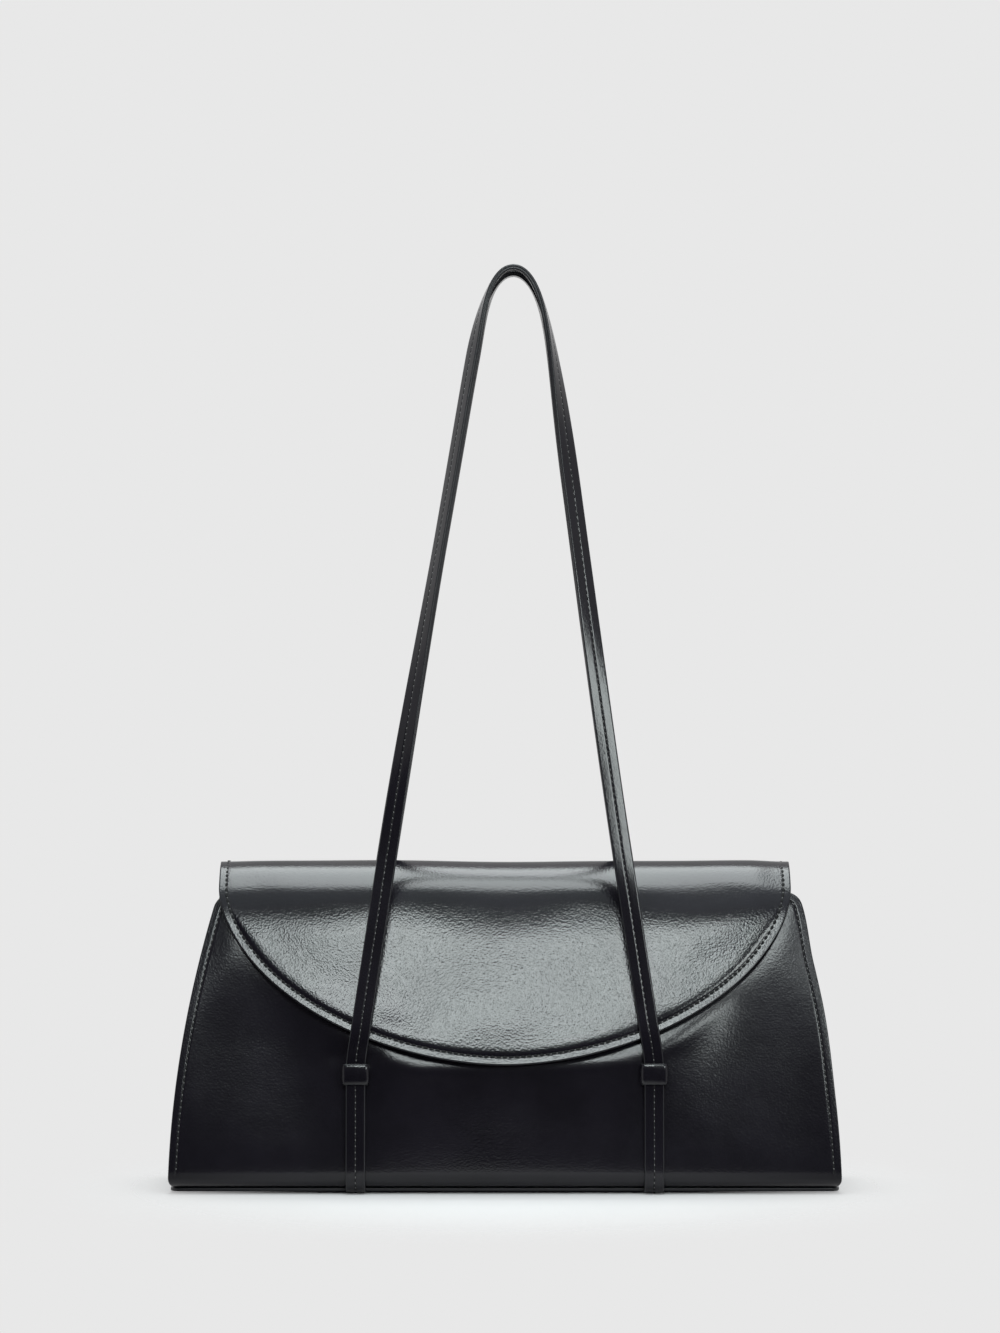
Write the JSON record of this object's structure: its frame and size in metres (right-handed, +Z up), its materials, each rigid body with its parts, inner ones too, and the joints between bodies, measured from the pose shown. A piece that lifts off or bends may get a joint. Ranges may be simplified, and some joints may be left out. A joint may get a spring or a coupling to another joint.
{
  "type": "shoulder bag",
  "caption": "Black leather shoulder bag with a crescent flap, folding gussets and a front and a back strap handle that pass through keepers and under the base.",
  "frame": {"origin": "on the ground under the middle of the bag, between the two straps that it rests on", "axes": "+Z up, +X to the bag's right as seen from the front, -Y out of the front panel"},
  "size_m": [0.3296, 0.0896, 0.4575],
  "materials": {
    "box_leather": "smooth black calf leather, semi-gloss",
    "strap_leather": "smooth black calf leather, sewn double",
    "painted_edge": "black edge paint, satin",
    "lining_cloth": "dark close-woven cotton",
    "base_card": "grey board",
    "filler_foam": "thin foam wadding",
    "magnet_steel": "plated disc"
  },
  "bodies": {
    "bag_body": {"front_panel": "box_leather", "back_panel": "box_leather", "base_panel": "painted_edge", "left_gusset": "box_leather", "right_gusset": "box_leather", "front_facing": "box_leather", "back_facing": "box_leather", "body_lining": "lining_cloth", "left_lining": "lining_cloth", "right_lining": "lining_cloth", "slip_pocket": "lining_cloth", "base_board": "base_card", "panel_magnet": "magnet_steel", "flap_sewn_end": "box_leather", "left_base_strap": "strap_leather", "right_base_strap": "strap_leather", "front_left_keeper": "strap_leather", "front_right_keeper": "strap_leather", "back_left_keeper": "strap_leather", "back_right_keeper": "strap_leather"},
    "flap": {"flap_leather": "box_leather", "flap_filler": "filler_foam", "flap_lining": "lining_cloth", "flap_magnet": "magnet_steel"},
    "front_handle": {"front_handle_face": "strap_leather", "front_handle_lining": "strap_leather", "front_left_leg": "strap_leather", "front_right_leg": "strap_leather"},
    "back_handle": {"back_handle_face": "strap_leather", "back_handle_lining": "strap_leather"}
  },
  "joints": [
    {"name": "flap_hinge", "type": "hinge", "parent": "bag_body", "child": "flap", "pos_m": [0, 0.01303, 0.15254], "axis": [-1, 0, 0], "range_deg": [0, 100]},
    {"name": "front_handle_swing", "type": "hinge", "parent": "bag_body", "child": "front_handle", "pos_m": [0, -0.03844, 0.06527], "axis": [1, 0, 0], "range_deg": [0, 102], "deforming": ["front_left_leg", "front_right_leg"]},
    {"name": "back_handle_swing", "type": "hinge", "parent": "bag_body", "child": "back_handle", "pos_m": [0, 0.03844, 0.06527], "axis": [-1, 0, 0], "range_deg": [0, 102]}
  ],
  "couplings": [
    {"joint": "front_handle_swing", "follows": "flap_hinge", "ratio": 1.0199}
  ]
}
